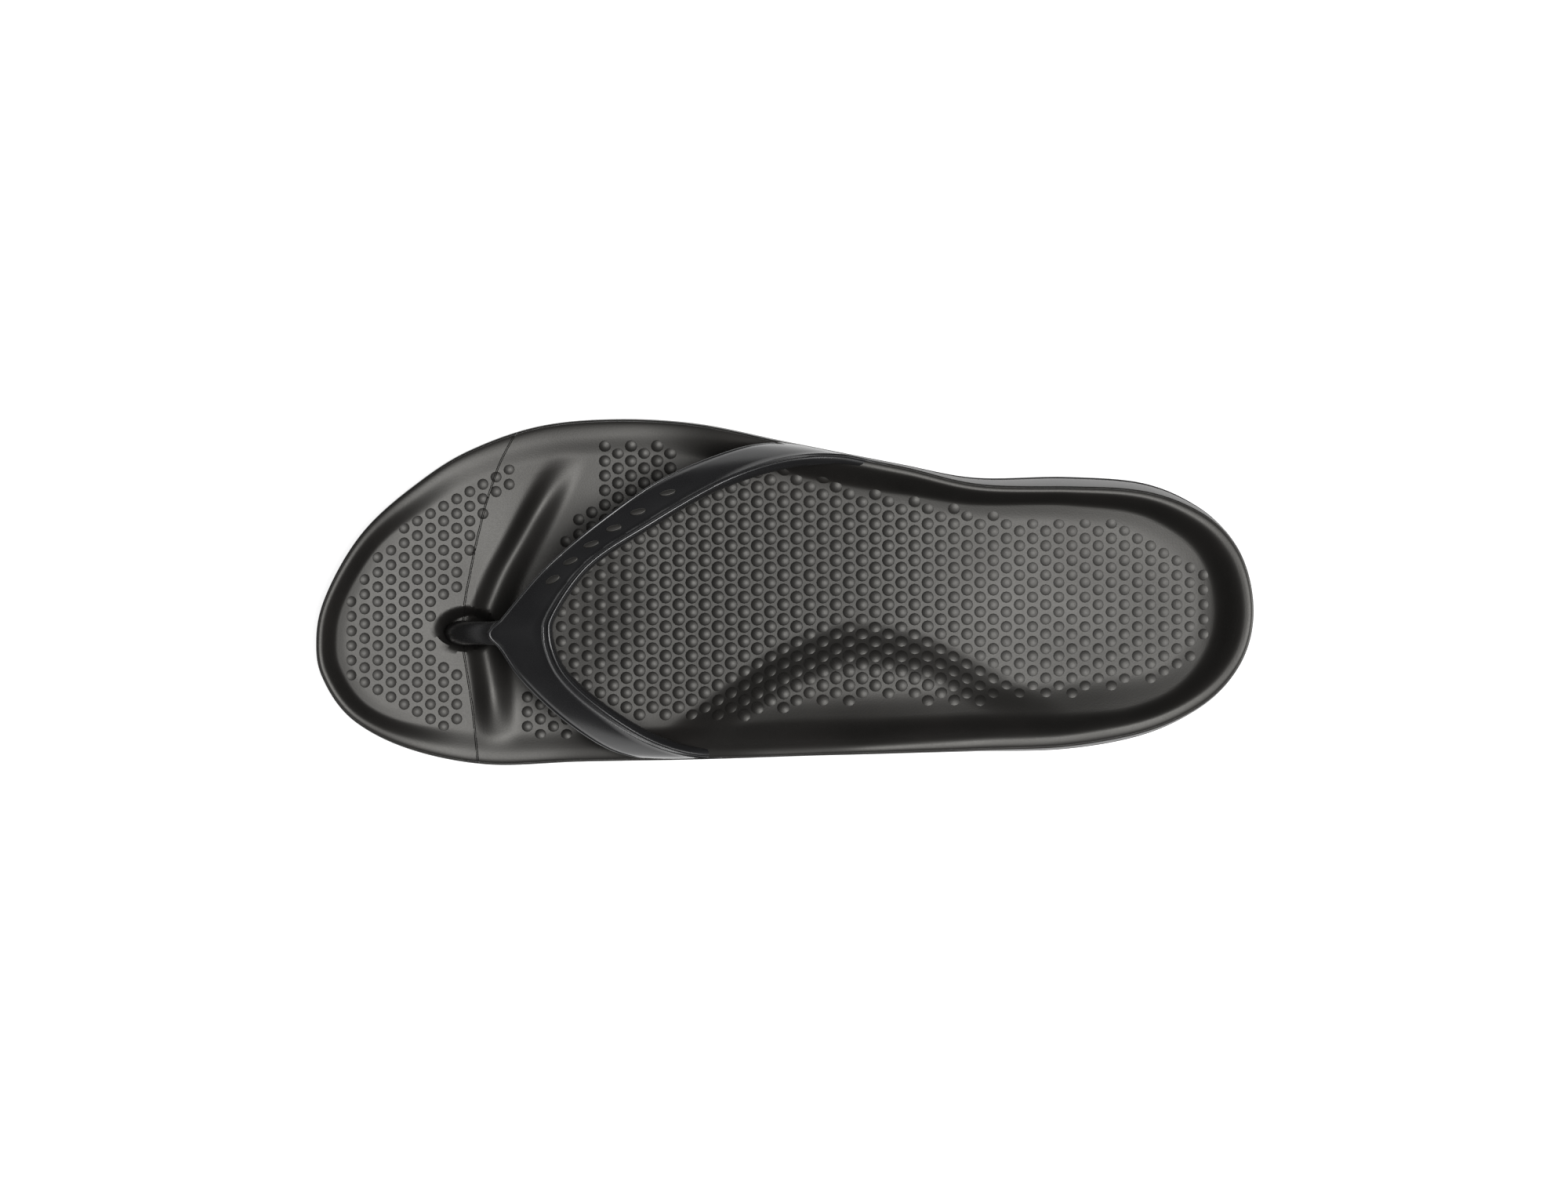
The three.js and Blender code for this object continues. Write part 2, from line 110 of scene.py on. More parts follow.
class Columns:
    """Straight lines from the sole's spine out to its outline: a fan at the heel and at the toe,
    and square across between."""

    def __init__(self, outline, heel, side, toe):
        spine = SPINE_OFFSET * SOLE_WIDTH
        behind, ahead = SPINE_HEEL_END * SOLE_LENGTH, SPINE_TOE_END * SOLE_LENGTH
        fan = lambda start, count: np.radians(start + 180 * np.arange(count) / count)
        out, back = np.full(side, math.pi / 2), np.full(side, 1.5 * math.pi)
        angle = np.concatenate([fan(-90, heel), out, fan(90, toe), back])
        run = np.arange(side) / side * (behind - ahead)
        x = np.concatenate([np.full(heel, behind), behind - run, np.full(toe, ahead), ahead + run])
        self.origin = np.stack([x, np.full(len(x), spine)], 1)
        self.direction = np.stack([np.cos(angle), np.sin(angle)], 1)
        self.outer = (1 + self.direction[:, 1]) / 2
        edges = np.roll(outline, -1, axis=0) - outline
        lines = zip(self.origin, self.direction)
        self.reach = np.array([self._reach(o, d, outline, edges) for o, d in lines])
        edge = self.origin + self.direction * self.reach[:, None]
        self.along = edge[:, 0] / SOLE_LENGTH + 0.5

    @staticmethod
    def _reach(origin, direction, start, edge):
        """How far out a line meets the outline, given as its edges' starts and runs."""
        turn = direction[0] * edge[:, 1] - direction[1] * edge[:, 0]
        turn = np.where(turn == 0, 1e-12, turn)
        gap = start - origin
        on_edge = (gap[:, 0] * direction[1] - gap[:, 1] * direction[0]) / turn
        out = (gap[:, 0] * edge[:, 1] - gap[:, 1] * edge[:, 0]) / turn
        return out[(on_edge >= 0) & (on_edge <= 1)].max()

    def ring(self, inset, height):
        """One loop of points round the sole, that far in from the outline and at that height."""
        plan = self.origin + self.direction * (self.reach - inset)[:, None]
        z = height(plan[:, 0], plan[:, 1]) if callable(height) else height
        return np.column_stack([plan, z])


def ground(x):
    """How high the underside stands: it turns up at the toe and at the back of the heel."""
    along = x / SOLE_LENGTH + 0.5
    toe = np.maximum(0, (TOE_SPRING_START - along) / TOE_SPRING_START)
    heel = np.maximum(0, (along - HEEL_BEVEL_START) / (1 - HEEL_BEVEL_START))
    return TOE_SPRING * toe**2 + HEEL_BEVEL * heel**2


def wrap(bm, rings):
    """Carries a loop of edges from ring to ring, leaving a skin behind it."""
    column = bm.verts.layers.int.get("column") or bm.verts.layers.int.new("column")
    first = bmesh.ops.create_circle(bm, segments=len(rings[0]), radius=1.0)["verts"]
    for i, vert in enumerate(first):
        vert[column] = i
        vert.co = rings[0][i]
    edges = list({e for v in first for e in v.link_edges})
    start = edges
    for ring in rings[1:]:
        grown = bmesh.ops.extrude_edge_only(bm, edges=edges)["geom"]
        moved = {g for g in grown if isinstance(g, bmesh.types.BMVert)}
        edges = [g for g in grown if isinstance(g, bmesh.types.BMEdge)]
        edges = [e for e in edges if set(e.verts) <= moved]
        for vert in moved:
            vert.co = ring[vert[column]]
    return start, edges


def colour(hexadecimal):
    """An sRGB hex colour as the linear one the shader takes."""
    parts = [int(hexadecimal[i : i + 2], 16) / 255 for i in (1, 3, 5)]
    return [c / 12.92 if c <= 0.04045 else ((c + 0.055) / 1.055) ** 2.4 for c in parts] + [1.0]


def add(tree, kind, settings=None, links=None):
    """Adds a node, sets its values and feeds its sockets."""
    node = tree.nodes.new(kind)
    for key, value in (settings or {}).items():
        if isinstance(key, int) or key in node.inputs:
            node.inputs[key].default_value = value
        else:
            setattr(node, key, value)
    for key, source in (links or {}).items():
        tree.links.new(source, node.inputs[key])
    return node


def new_material(name):
    material = bpy.data.materials.new(name)
    material.use_nodes = True
    tree = material.node_tree
    tree.nodes.clear()
    place = add(tree, "ShaderNodeTexCoord").outputs["Object"]
    return material, tree, place


def ramp(tree, source, stops):
    """Turns a pattern's value into colours or greys, by (position, colour) stops."""
    node = add(tree, "ShaderNodeValToRGB", links={"Fac": source})
    elements = node.color_ramp.elements
    while len(elements) < len(stops):
        elements.new(0.5)
    for element, (position, value) in zip(elements, stops):
        element.position = position
        element.color = value
    return node.outputs["Color"]


def grey(value):
    return (value, value, value, 1.0)


def make_piece(name, bm, material, sharp_above):
    """Closes a mesh made in millimetres and puts it in the scene in metres."""
    bmesh.ops.remove_doubles(bm, verts=bm.verts[:], dist=WELD_DISTANCE)
    bmesh.ops.recalc_face_normals(bm, faces=bm.faces[:])
    bmesh.ops.scale(bm, vec=(MM, MM, MM), verts=bm.verts[:])
    for face in bm.faces:
        face.smooth = True
    for layer in list(bm.verts.layers.int.values()):
        bm.verts.layers.int.remove(layer)
    mesh = bpy.data.meshes.new(name)
    bm.to_mesh(mesh)
    bm.free()
    mesh.set_sharp_from_angle(angle=math.radians(sharp_above))
    mesh.materials.append(material)
    piece = bpy.data.objects.new(name, mesh)
    bpy.context.scene.collection.objects.link(piece)
    return piece


# Dense rubber foam, moulded against a blasted tool: nearly black, dull, with a sandy grain.
def rubber_foam_sanded():
    material, tree, place = new_material("rubber_foam_sanded")
    # The blasted grain is about 0.2 mm; it is drawn at 0.7 mm so that it shows.
    grain = add(
        tree, "ShaderNodeTexNoise", {"Scale": 1 / (0.7 * MM), "Detail": 3.0}, {"Vector": place}
    )
    cloud = add(
        tree, "ShaderNodeTexNoise", {"Scale": 1 / (22 * MM), "Detail": 2.0}, {"Vector": place}
    )
    tint = ramp(tree, cloud.outputs["Fac"], [(0.3, colour("#181616")), (0.7, colour("#201e1e"))])
    dull = ramp(tree, grain.outputs["Fac"], [(0.3, grey(0.58)), (0.7, grey(0.76))])
    bump = add(
        tree,
        "ShaderNodeBump",
        {"Strength": 0.5, "Distance": 0.12 * MM},
        {"Height": grain.outputs["Fac"]},
    )
    shader = add(
        tree,
        "ShaderNodeBsdfPrincipled",
        {"IOR": 1.48},
        {"Base Color": tint, "Roughness": dull, "Normal": bump.outputs["Normal"]},
    )
    add(tree, "ShaderNodeOutputMaterial", links={"Surface": shader.outputs["BSDF"]})
    return material


def outsole_mesh(columns):
    """The layer's skin, laid from the middle of the underside out, up the edge and back in."""
    low = lambda x, y: ground(x)
    top = lambda x, y: ground(x) + OUTSOLE_THICKNESS
    spread = (1.0, 0.94, 0.88, 0.8, 0.72, 0.64, 0.56, 0.48, 0.4, 0.32, 0.24, 0.17)
    rings = [columns.ring(columns.reach * s, low) for s in spread]
    for turn in np.radians([0, 22, 45, 68, 90]):
        inset = OUTSOLE_EDGE * (1 - math.sin(turn))
        rise = OUTSOLE_EDGE * (1 - math.cos(turn))
        rings.append(columns.ring(inset, lambda x, y, rise=rise: ground(x) + rise))
    rings.append(columns.ring(0, lambda x, y: top(x, y) - OUTSOLE_TOP_EDGE))
    rings.append(columns.ring(OUTSOLE_TOP_EDGE, top))
    rings += [columns.ring(columns.reach * s, top) for s in (0.2, 0.5, 0.8, 1.0)]
    bm = bmesh.new()
    wrap(bm, rings)
    cut_grooves(bm)
    return bm


def groove_wave(y):
    return GROOVE_WAVE * np.sin(2 * math.pi * y / GROOVE_WAVELENGTH)


def cut_grooves(bm):
    """Cuts the sheet straight while it is sheared, so that the grooves come back wavy."""
    near_groove, below_top, inside_floor = 12, 5, GROOVE_FLOOR + 0.02
    for vert in bm.verts:
        vert.co.x -= groove_wave(vert.co.y)
    for start, end in GROOVE_RUNS:
        first, last = (start - 0.5) * SOLE_LENGTH, (end - 0.5) * SOLE_LENGTH
        for middle in np.arange(first, last, GROOVE_PITCH):
            for offset in (-1.0, -GROOVE_FLOOR, GROOVE_FLOOR, 1.0):
                x = middle + offset * GROOVE_HALF_WIDTH
                near = [f for f in bm.faces if abs(f.calc_center_median().x - x) < near_groove]
                near = [f for f in near if f.calc_center_median().z < ground(x) + below_top]
                geom = near + list({e for f in near for e in f.edges})
                geom += list({v for f in near for v in f.verts})
                bmesh.ops.bisect_plane(
                    bm, geom=geom, plane_co=(x, 0, 0), plane_no=(1, 0, 0), dist=CUT_TOLERANCE
                )
            floor = [v for v in bm.verts if v.co.z < ground(middle) + below_top]
            for vert in floor:
                if abs(vert.co.x - middle) < inside_floor * GROOVE_HALF_WIDTH:
                    vert.co.z = max(vert.co.z, ground(vert.co.x) + GROOVE_DEPTH)
    for vert in bm.verts:
        vert.co.x += groove_wave(vert.co.y)


outline = sole_outline()

outsole_form = outsole_mesh(Columns(outline, heel=90, side=110, toe=110))
outsole = make_piece("outsole", outsole_form, rubber_foam_sanded(), sharp_above=38)
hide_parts("outsole_rear", "outsole_forefoot")
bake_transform(outsole)

# ---------------------------------------------------------------- midsole
# The body of the sole, one piece of EVA foam moulded in a matte tool. The tool gives it the
# footbed with its rim, arch mound and toe ridge, and a field of round nubs that rub the foot.
BOND_GAP = 0.3
# The midsole stands this far in from the outsole, and its lower edge rounds over by this much.
MIDSOLE_INSET = 0.5
MIDSOLE_EDGE = 0.4
# The side wall ends this far below the rim and bulges a little; its top stays this far outside
# the rim's bead, but never comes nearer to the outsole's edge than the second value.
WALL_TOP = 4.3
WALL_BULGE = 0.35
WALL_LEAN_POWER = 1.3
WALL_LIP = (0.6, 0.12)
# The groove under the rim and the bead over it: how far in, and how far below the rim's top.
RIM_GROOVE = ((0.1, 4.2), (0.5, 4.0), (1.5, 3.9), (1.5, 3.3))
RIM_BEAD = ((0.12, 2.9), (0.0, 2.4), (0.0, 1.9))
# The crest falls outwards by the first of these, and by the second for each millimetre that it
# rounds over; inside it the top is flat for a moment.
CREST_FALL = (0.35, 0.14)
CREST_FLAT = 0.35
BED_HEIGHTS = [(0, 15.5), (0.12, 15.5), (0.36, 18.5), (0.62, 25), (0.78, 26), (1, 26)]
OUTER_RIM = [
    (0, 21), (0.04, 20.3), (0.08, 17.6), (0.15, 16.6), (0.29, 18.9), (0.37, 19.9), (0.41, 22),
    (0.46, 27.5), (0.52, 33), (0.58, 34.5), (0.72, 34.5), (0.88, 34), (1, 34.5),
]
INNER_RIM = [
    (0, 21), (0.04, 20.3), (0.09, 18.0), (0.15, 16.9), (0.27, 18.6), (0.33, 21.5), (0.4, 29),
    (0.46, 35), (0.58, 41), (0.7, 40), (0.78, 36.5), (0.86, 33), (0.93, 33), (1, 34.5),
]
# How far in from the sole's edge the crest of the rim runs, and how wide it rounds over.
OUTER_CREST = [
    (0, 1.6), (0.05, 1.8), (0.1, 2.7), (0.15, 3.3), (0.29, 4.3), (0.4, 3.4), (0.46, 2.6),
    (0.64, 2.7), (0.7, 3.6), (0.78, 4.6), (0.88, 4.4), (0.95, 3.7), (1, 3.3),
]
INNER_CREST = [
    (0, 1.6), (0.05, 1.9), (0.1, 2.4), (0.15, 2.8), (0.3, 2.7), (0.42, 1.8), (0.5, 1.4),
    (0.6, 2.1), (0.71, 3.5), (0.85, 4.4), (0.93, 3.8), (1, 3.3),
]
OUTER_ROUND = [
    (0, 0.9), (0.05, 1.1), (0.1, 1.9), (0.15, 2.5), (0.29, 3.6), (0.4, 2.4), (0.46, 1.5),
    (0.64, 1.2), (0.78, 0.9), (0.9, 1.2), (1, 2.1),
]
INNER_ROUND = [
    (0, 0.9), (0.05, 1.1), (0.1, 1.6), (0.15, 2.2), (0.3, 2.1), (0.42, 1.2), (0.5, 0.9),
    (0.6, 1.3), (0.71, 2.2), (0.85, 2.6), (1, 2.1),
]
# Inside the crest the rim drops steeply, then runs out gently on to the footbed: how wide each
# part is, and the steep part's share of the drop.
OUTER_STEEP = [
    (0, 4.2), (0.05, 4.4), (0.1, 6), (0.15, 7), (0.36, 7), (0.45, 7.5), (0.6, 7), (0.66, 5.5),
    (0.72, 4), (0.78, 3.6), (0.88, 5), (1, 9),
]
INNER_STEEP = [
    (0, 4.2), (0.05, 4.4), (0.1, 6), (0.15, 7), (0.3, 7), (0.4, 8), (0.5, 9.5), (0.6, 8.5),
    (0.71, 8), (0.78, 7), (0.86, 5), (0.93, 5.2), (1, 9),
]
OUTER_GENTLE = [(0, 4), (0.15, 3), (0.5, 3.5), (0.64, 5), (0.78, 6), (0.88, 7), (1, 6.5)]
INNER_GENTLE = [(0, 4), (0.15, 3), (0.4, 5), (0.5, 8), (0.71, 9), (0.85, 11), (0.93, 8), (1, 6.5)]
OUTER_SHARE = [(0, 0.86), (0.6, 0.84), (0.78, 0.8), (0.88, 0.8), (1, 0.84)]
INNER_SHARE = [
    (0, 0.86), (0.35, 0.85), (0.5, 0.6), (0.71, 0.6), (0.85, 0.55), (0.93, 0.7), (1, 0.84),
]
# Where the arch mound's foot runs, as shares of length and width; it rises from there inwards.
ARCH_FOOT = [
    (0.3, -0.5), (0.36, -0.42), (0.44, -0.247), (0.499, -0.134), (0.574, -0.066), (0.649, -0.105),
    (0.733, -0.22), (0.82, -0.36), (0.88, -0.5),
]
ARCH_RISE = 5.3
ARCH_SLOPE = 16.5
# Towards the heel the mound sinks back into the footbed between these two places.
ARCH_FADE = (0.64, 0.87)
# The crest of the toe ridge, as shares of width and length. It is this wide before and behind,
# and its ends die away over the last stretch of its reach to either side.
TOE_RIDGE = [
    (-0.46, 0.192), (-0.28, 0.187), (-0.1, 0.176), (0.05, 0.198), (0.16, 0.221), (0.4, 0.268),
]
TOE_RIDGE_RISE = 3.6
TOE_RIDGE_AHEAD = 6.5
TOE_RIDGE_BEHIND = 7.5
TOE_RIDGE_MIDDLE = -0.03
TOE_RIDGE_REACH = 0.44
TOE_RIDGE_FADE = 0.2
# The hollows that the ball of the foot and the heel rest in: middle, half size and depth.
BALL_DISH = ((-75, -2), (36, 38), 3.4)
HEEL_DISH = ((92, -7), (42, 27), 1.6)
# The recess round the post. Its wall starts a little outside the oval and runs in from there.
SOCKET_MIDDLE = (-96.6, -11.2)
SOCKET_HALF = (8.8, 6.2)
SOCKET_DEPTH = 6.2
SOCKET_BRIM = 1.12
SOCKET_WALL = 0.52
# The tool closes along this line across the toes, as (y, x).
TOOL_LINE = [
    (-52.5, -93.4), (-35.9, -95.1), (-26.0, -96.6), (-16.9, -98.1), (-9, -98.3), (-1.7, -97.4),
    (13.5, -94.4), (26.4, -91.3), (38.9, -87.1), (45.4, -83.7), (50, -81.0),
]
TOOL_LINE_HALF = 0.36
TOOL_LINE_DEPTH = 0.5
# Nubs stand in staggered rows across the foot.
NUB_PITCH_X = 3.98
NUB_PITCH_Y = 4.46
# Nub profile from its foot, sunk in the footbed, to its crown, as radius and share of height.
NUB_PROFILE = [(2.02, -0.3), (1.84, 0.0), (1.42, 0.38), (0.86, 0.77)]
# Nubs stand tallest and widest behind the ball of the foot and flatten off towards the heel.
NUB_HEIGHTS = [(0, 0.37), (0.2, 0.39), (0.4, 0.55), (0.6, 0.43), (0.72, 0.28), (1, 0.25)]
NUB_WIDTHS = [(0, 0.93), (0.25, 0.95), (0.4, 1.1), (0.6, 1.06), (0.75, 0.95), (1, 0.93)]
NUB_SIDES = 12
ABOVE_THE_SOLE = 80
# Each field of nubs: one nub's place, then the field's border.
NUB_FIELDS = [
    (
        (-131.8, -2.9),
        [
            (-133.5, -0.5), (-128, 5.5), (-121, 15), (-111, 25.4), (-103, 30.4), (-95.1, 34.4),
            (-82.5, 40.5), (-80.5, 36.5), (-92, 23), (-96.6, 8), (-99.8, -0.5), (-103.5, -3),
            (-107.5, -6), (-108.5, -12), (-107, -18), (-103, -21), (-99.2, -22.5), (-96.8, -30),
            (-96.4, -42.5), (-107.5, -43), (-115.5, -38.6), (-119.5, -35.6), (-130.5, -28.2),
            (-133.5, -22.5),
        ],
    ),
    (
        (-54.9, 44.3),
        [
            (-56.6, 46), (-34, 46), (-34, 34), (-60, 13), (-67, 14), (-66.5, 19.5), (-59, 26),
            (-56.8, 30),
        ],
    ),
    ((-78.5, -36.4), [(-80, -30.5), (-66, -30.5), (-64, -44), (-80, -44)]),
    (
        (3.4, 34.1),
        [
            (3.4, 36), (14.4, 33.6), (30.1, 29.8), (42, 27.4), (53.9, 25), (65.8, 22.9),
            (81.5, 22.2), (101.3, 21.4), (111, 17.7), (120.5, 12.8), (124.5, 9.8), (129.5, 4),
            (129.5, -13), (124.5, -20.2), (116, -25.4), (103.7, -28.2), (91.5, -31.3),
            (67.3, -32.4), (57.7, -34.2), (33.5, -32.4), (13.7, -33.2), (1.1, -34.9), (-10.1, -37),
            (-22.7, -38.6), (-37.7, -37.4), (-46.3, -37.4), (-56, -36), (-70, -24), (-77, -12),
            (-72, 3), (-56, 16), (-38, 28), (-16, 38),
        ],
    ),
]


def eased(t):
    t = np.clip(t, 0, 1)
    return t * t * (3 - 2 * t)


def soft_read(rows, place, blur=0.035):
    """Reads a table of (place, value) rows, with its corners rounded off."""
    places, values = zip(*rows)
    offsets = np.linspace(-1, 1, 9)
    weights = np.cos(offsets * math.pi / 2.4) ** 2
    total = sum(w * np.interp(place + o * blur, places, values) for o, w in zip(offsets, weights))
    return total / weights.sum()


def oval(x, y, middle, half):
    """0 in the middle of an oval, 1 on its edge."""
    return np.hypot((x - middle[0]) / half[0], (y - middle[1]) / half[1])


def footbed(x, y):
    """How high the footbed stands, without rim and nubs."""
    along, over = x / SOLE_LENGTH + 0.5, y / SOLE_WIDTH
    height = ground(x) + soft_read(BED_HEIGHTS, along, blur=0.08)
    arch_foot = soft_read(ARCH_FOOT, along) * SOLE_WIDTH
    faded = eased((ARCH_FADE[1] - along) / (ARCH_FADE[1] - ARCH_FADE[0]))
    height = height + ARCH_RISE * faded * eased((arch_foot - y) / ARCH_SLOPE)
    off = x - (soft_read(TOE_RIDGE, over, blur=0.05) - 0.5) * SOLE_LENGTH
    off = np.minimum(1, np.where(off < 0, -off / TOE_RIDGE_AHEAD, off / TOE_RIDGE_BEHIND))
    ends = eased((TOE_RIDGE_REACH - np.abs(over - TOE_RIDGE_MIDDLE)) / TOE_RIDGE_FADE)
    height = height + TOE_RIDGE_RISE * ends * np.cos(off * math.pi / 2) ** 2
    for middle, half, depth in (BALL_DISH, HEEL_DISH):
        height = height - depth * eased(1 - oval(x, y, middle, half))
    post = oval(x, y, SOCKET_MIDDLE, SOCKET_HALF)
    return height - SOCKET_DEPTH * eased((SOCKET_BRIM - post) / SOCKET_WALL)


def midsole_rings(columns):
    """The midsole's skin, laid from the middle of its underside out, up the wall, over the rim and
    back in across the footbed."""

    def read(outer, inner):
        outside = columns.outer * soft_read(outer, columns.along)
        return outside + (1 - columns.outer) * soft_read(inner, columns.along)

    crest = read(OUTER_CREST, INNER_CREST)
    rounded = read(OUTER_ROUND, INNER_ROUND)
    steep = read(OUTER_STEEP, INNER_STEEP)
    gentle = read(OUTER_GENTLE, INNER_GENTLE)
    share_steep = read(OUTER_SHARE, INNER_SHARE)
    lean = crest - rounded
    lip = np.maximum(lean - WALL_LIP[0], WALL_LIP[1])
    rim = lambda x, y: ground(x) + read(OUTER_RIM, INNER_RIM)
    bottom = lambda x, y: ground(x) + OUTSOLE_THICKNESS + BOND_GAP
    rings = [columns.ring(columns.reach * s, bottom) for s in (1.0, 0.7, 0.4, 0.15)]
    rings.append(columns.ring(MIDSOLE_INSET + MIDSOLE_EDGE, bottom))
    rings.append(columns.ring(MIDSOLE_INSET, lambda x, y: bottom(x, y) + MIDSOLE_EDGE))
    for share in (0.2, 0.4, 0.6, 0.8, 0.95):
        bulge = WALL_BULGE * np.sin(share * math.pi)
        inset = MIDSOLE_INSET + (lip - MIDSOLE_INSET) * share**WALL_LEAN_POWER - bulge
        wall = lambda x, y: rim(x, y) - WALL_TOP - bottom(x, y)
        rings.append(columns.ring(inset, lambda x, y, s=share: bottom(x, y) + wall(x, y) * s))
    for start, section in ((lip, RIM_GROOVE), (lean, RIM_BEAD)):
        for inset, drop in section:
            rings.append(columns.ring(start + inset, lambda x, y, drop=drop: rim(x, y) - drop))
    fall = CREST_FALL[0] + CREST_FALL[1] * rounded
    for turn in np.radians([12, 30, 48, 64, 78, 90]):
        height = lambda x, y, turn=turn: rim(x, y) - fall * (1 - math.sin(turn))
        rings.append(columns.ring(lean + rounded * (1 - math.cos(turn)), height))
    flat = crest + CREST_FLAT
    rings.append(columns.ring(flat, rim))
    for depth in np.linspace(0, 1, 20)[1:]:
        inset = depth * (steep + gentle)
        fallen = share_steep * eased(inset / steep) + (1 - share_steep) * eased(depth)
        height = lambda x, y, fallen=fallen: rim(x, y) + (footbed(x, y) - rim(x, y)) * fallen
        rings.append(columns.ring(flat + inset, height))
    edge = flat + steep + gentle
    for share in np.linspace(0, 1, 30)[1:]:
        rings.append(columns.ring(edge + (columns.reach - edge) * share, footbed))
    return rings


def score_tool_line(bm):
    """Presses the fine line where the tool closed, straight while the foam is sheared."""
    near_line, above_wall_foot = 9, 8
    shift = lambda y: float(soft_read(TOOL_LINE, y, blur=4.0))
    near = [v for v in bm.verts if abs(v.co.x - shift(v.co.y)) < near_line]
    near = [v for v in near if v.co.z > above_wall_foot + ground(v.co.x)]
    for vert in near:
        vert.co.x -= shift(vert.co.y)
    held = set(near)
    faces = [f for f in {f for v in near for f in v.link_faces} if held.issuperset(f.verts)]
    for offset in (-1.0, -0.25, 0.25, 1.0):
        geom = [f for f in faces if f.is_valid]
        geom += list({e for f in geom for e in f.edges}) + list({v for f in geom for v in f.verts})
        place = (offset * TOOL_LINE_HALF, 0, 0)
        cut = bmesh.ops.bisect_plane(
            bm, geom=geom, plane_co=place, plane_no=(1, 0, 0), dist=CUT_TOLERANCE
        )
        faces = [g for g in cut["geom"] if isinstance(g, bmesh.types.BMFace)]
    moved = {v for f in faces for v in f.verts} | {v for v in near if v.is_valid}
    for vert in moved:
        if abs(vert.co.x) < 0.5 * TOOL_LINE_HALF:
            vert.co.z -= TOOL_LINE_DEPTH
        vert.co.x += shift(vert.co.y)


def inside(border, x, y):
    """Whether a place lies within a closed border."""
    hit = False
    for (x0, y0), (x1, y1) in zip(border, border[1:] + border[:1]):
        if (y0 > y) != (y1 > y) and x < x0 + (y - y0) / (y1 - y0) * (x1 - x0):
            hit = not hit
    return hit


def nub_places():
    rows, nubs_a_row = range(-60, 60), range(-40, 40)
    for (x0, y0), border in NUB_FIELDS:
        for i in rows:
            for j in nubs_a_row:
                x = x0 + i * NUB_PITCH_X
                y = y0 + (j + (i % 2) / 2) * NUB_PITCH_Y
                if inside(border, x, y):
                    yield x, y


def nub_mesh():
    angles = np.arange(NUB_SIDES) * 2 * math.pi / NUB_SIDES
    circle = lambda r, z: np.column_stack([r * np.cos(angles), r * np.sin(angles), z + 0 * angles])
    bm = bmesh.new()
    wrap(bm, [circle(r, z) for r, z in NUB_PROFILE] + [circle(0, 1.0)])
    bmesh.ops.remove_doubles(bm, verts=bm.verts[:], dist=WELD_DISTANCE)
    foot = [e for e in bm.edges if e.is_boundary]
    bmesh.ops.contextual_create(bm, geom=foot)
    bmesh.ops.recalc_face_normals(bm, faces=bm.faces[:])
    mesh = bpy.data.meshes.new("nub")
    bm.to_mesh(mesh)
    bm.free()
    return mesh


def plant_nubs(bm):
    """Stands each nub square on the footbed, sized for its place along the foot."""
    nub = nub_mesh()
    field = bmesh.new()
    skin = BVHTree.FromBMesh(bm)
    for x, y in nub_places():
        foot, up, _, _ = skin.ray_cast(Vector((x, y, ABOVE_THE_SOLE)), Vector((0, 0, -1)))
        rise = float(soft_read(NUB_HEIGHTS, x / SOLE_LENGTH + 0.5))
        wide = float(soft_read(NUB_WIDTHS, x / SOLE_LENGTH + 0.5))
        first = len(field.verts)
        field.from_mesh(nub)
        field.verts.ensure_lookup_table()
        turn = Vector((0, 0, 1)).rotation_difference(up).to_matrix()
        for vert in field.verts[first:]:
            vert.co = turn @ (vert.co * Vector((wide, wide, rise))) + foot
    field.to_mesh(nub)
    field.free()
    bm.from_mesh(nub)
    bpy.data.meshes.remove(nub)


# EVA foam from a matte, spark-eroded tool: black right through, with a soft broad shine on what
# faces the light, faint cloudiness where the foam cooled unevenly, and a fine pebbled skin.
def eva_foam_matte():
    material, tree, place = new_material("eva_foam_matte")
    # The skin's real grain is 0.1 mm; it is drawn at 0.45 mm so that it shows.
    pebble = add(
        tree, "ShaderNodeTexNoise", {"Scale": 1 / (0.45 * MM), "Detail": 2.0}, {"Vector": place}
    )
    cloud = add(
        tree,
        "ShaderNodeTexNoise",
        {"Scale": 1 / (26 * MM), "Detail": 4.0, "Roughness": 0.6},
        {"Vector": place},
    )
    tint = ramp(
        tree,
        cloud.outputs["Fac"],
        [(0.25, colour("#11100f")), (0.5, colour("#151413")), (0.75, colour("#191716"))],
    )
    speck = add(
        tree,
        "ShaderNodeMapRange",
        {"To Min": -0.035, "To Max": 0.035},
        {"Value": pebble.outputs["Fac"]},
    )
    base = add(
        tree, "ShaderNodeMapRange", {"To Min": 0.46, "To Max": 0.54}, {"Value": cloud.outputs["Fac"]}
    )
    dull = add(
        tree,
        "ShaderNodeMath",
        {"operation": "ADD"},
        {0: base.outputs["Result"], 1: speck.outputs["Result"]},
    )
    bump = add(
        tree,
        "ShaderNodeBump",
        {"Strength": 0.35, "Distance": 0.06 * MM},
        {"Height": pebble.outputs["Fac"]},
    )
    shader = add(
        tree,
        "ShaderNodeBsdfPrincipled",
        {"IOR": 1.5, "Specular Tint": colour("#fffdf8")},
        {"Base Color": tint, "Roughness": dull.outputs["Value"], "Normal": bump.outputs["Normal"]},
    )
    add(tree, "ShaderNodeOutputMaterial", links={"Surface": shader.outputs["BSDF"]})
    return material


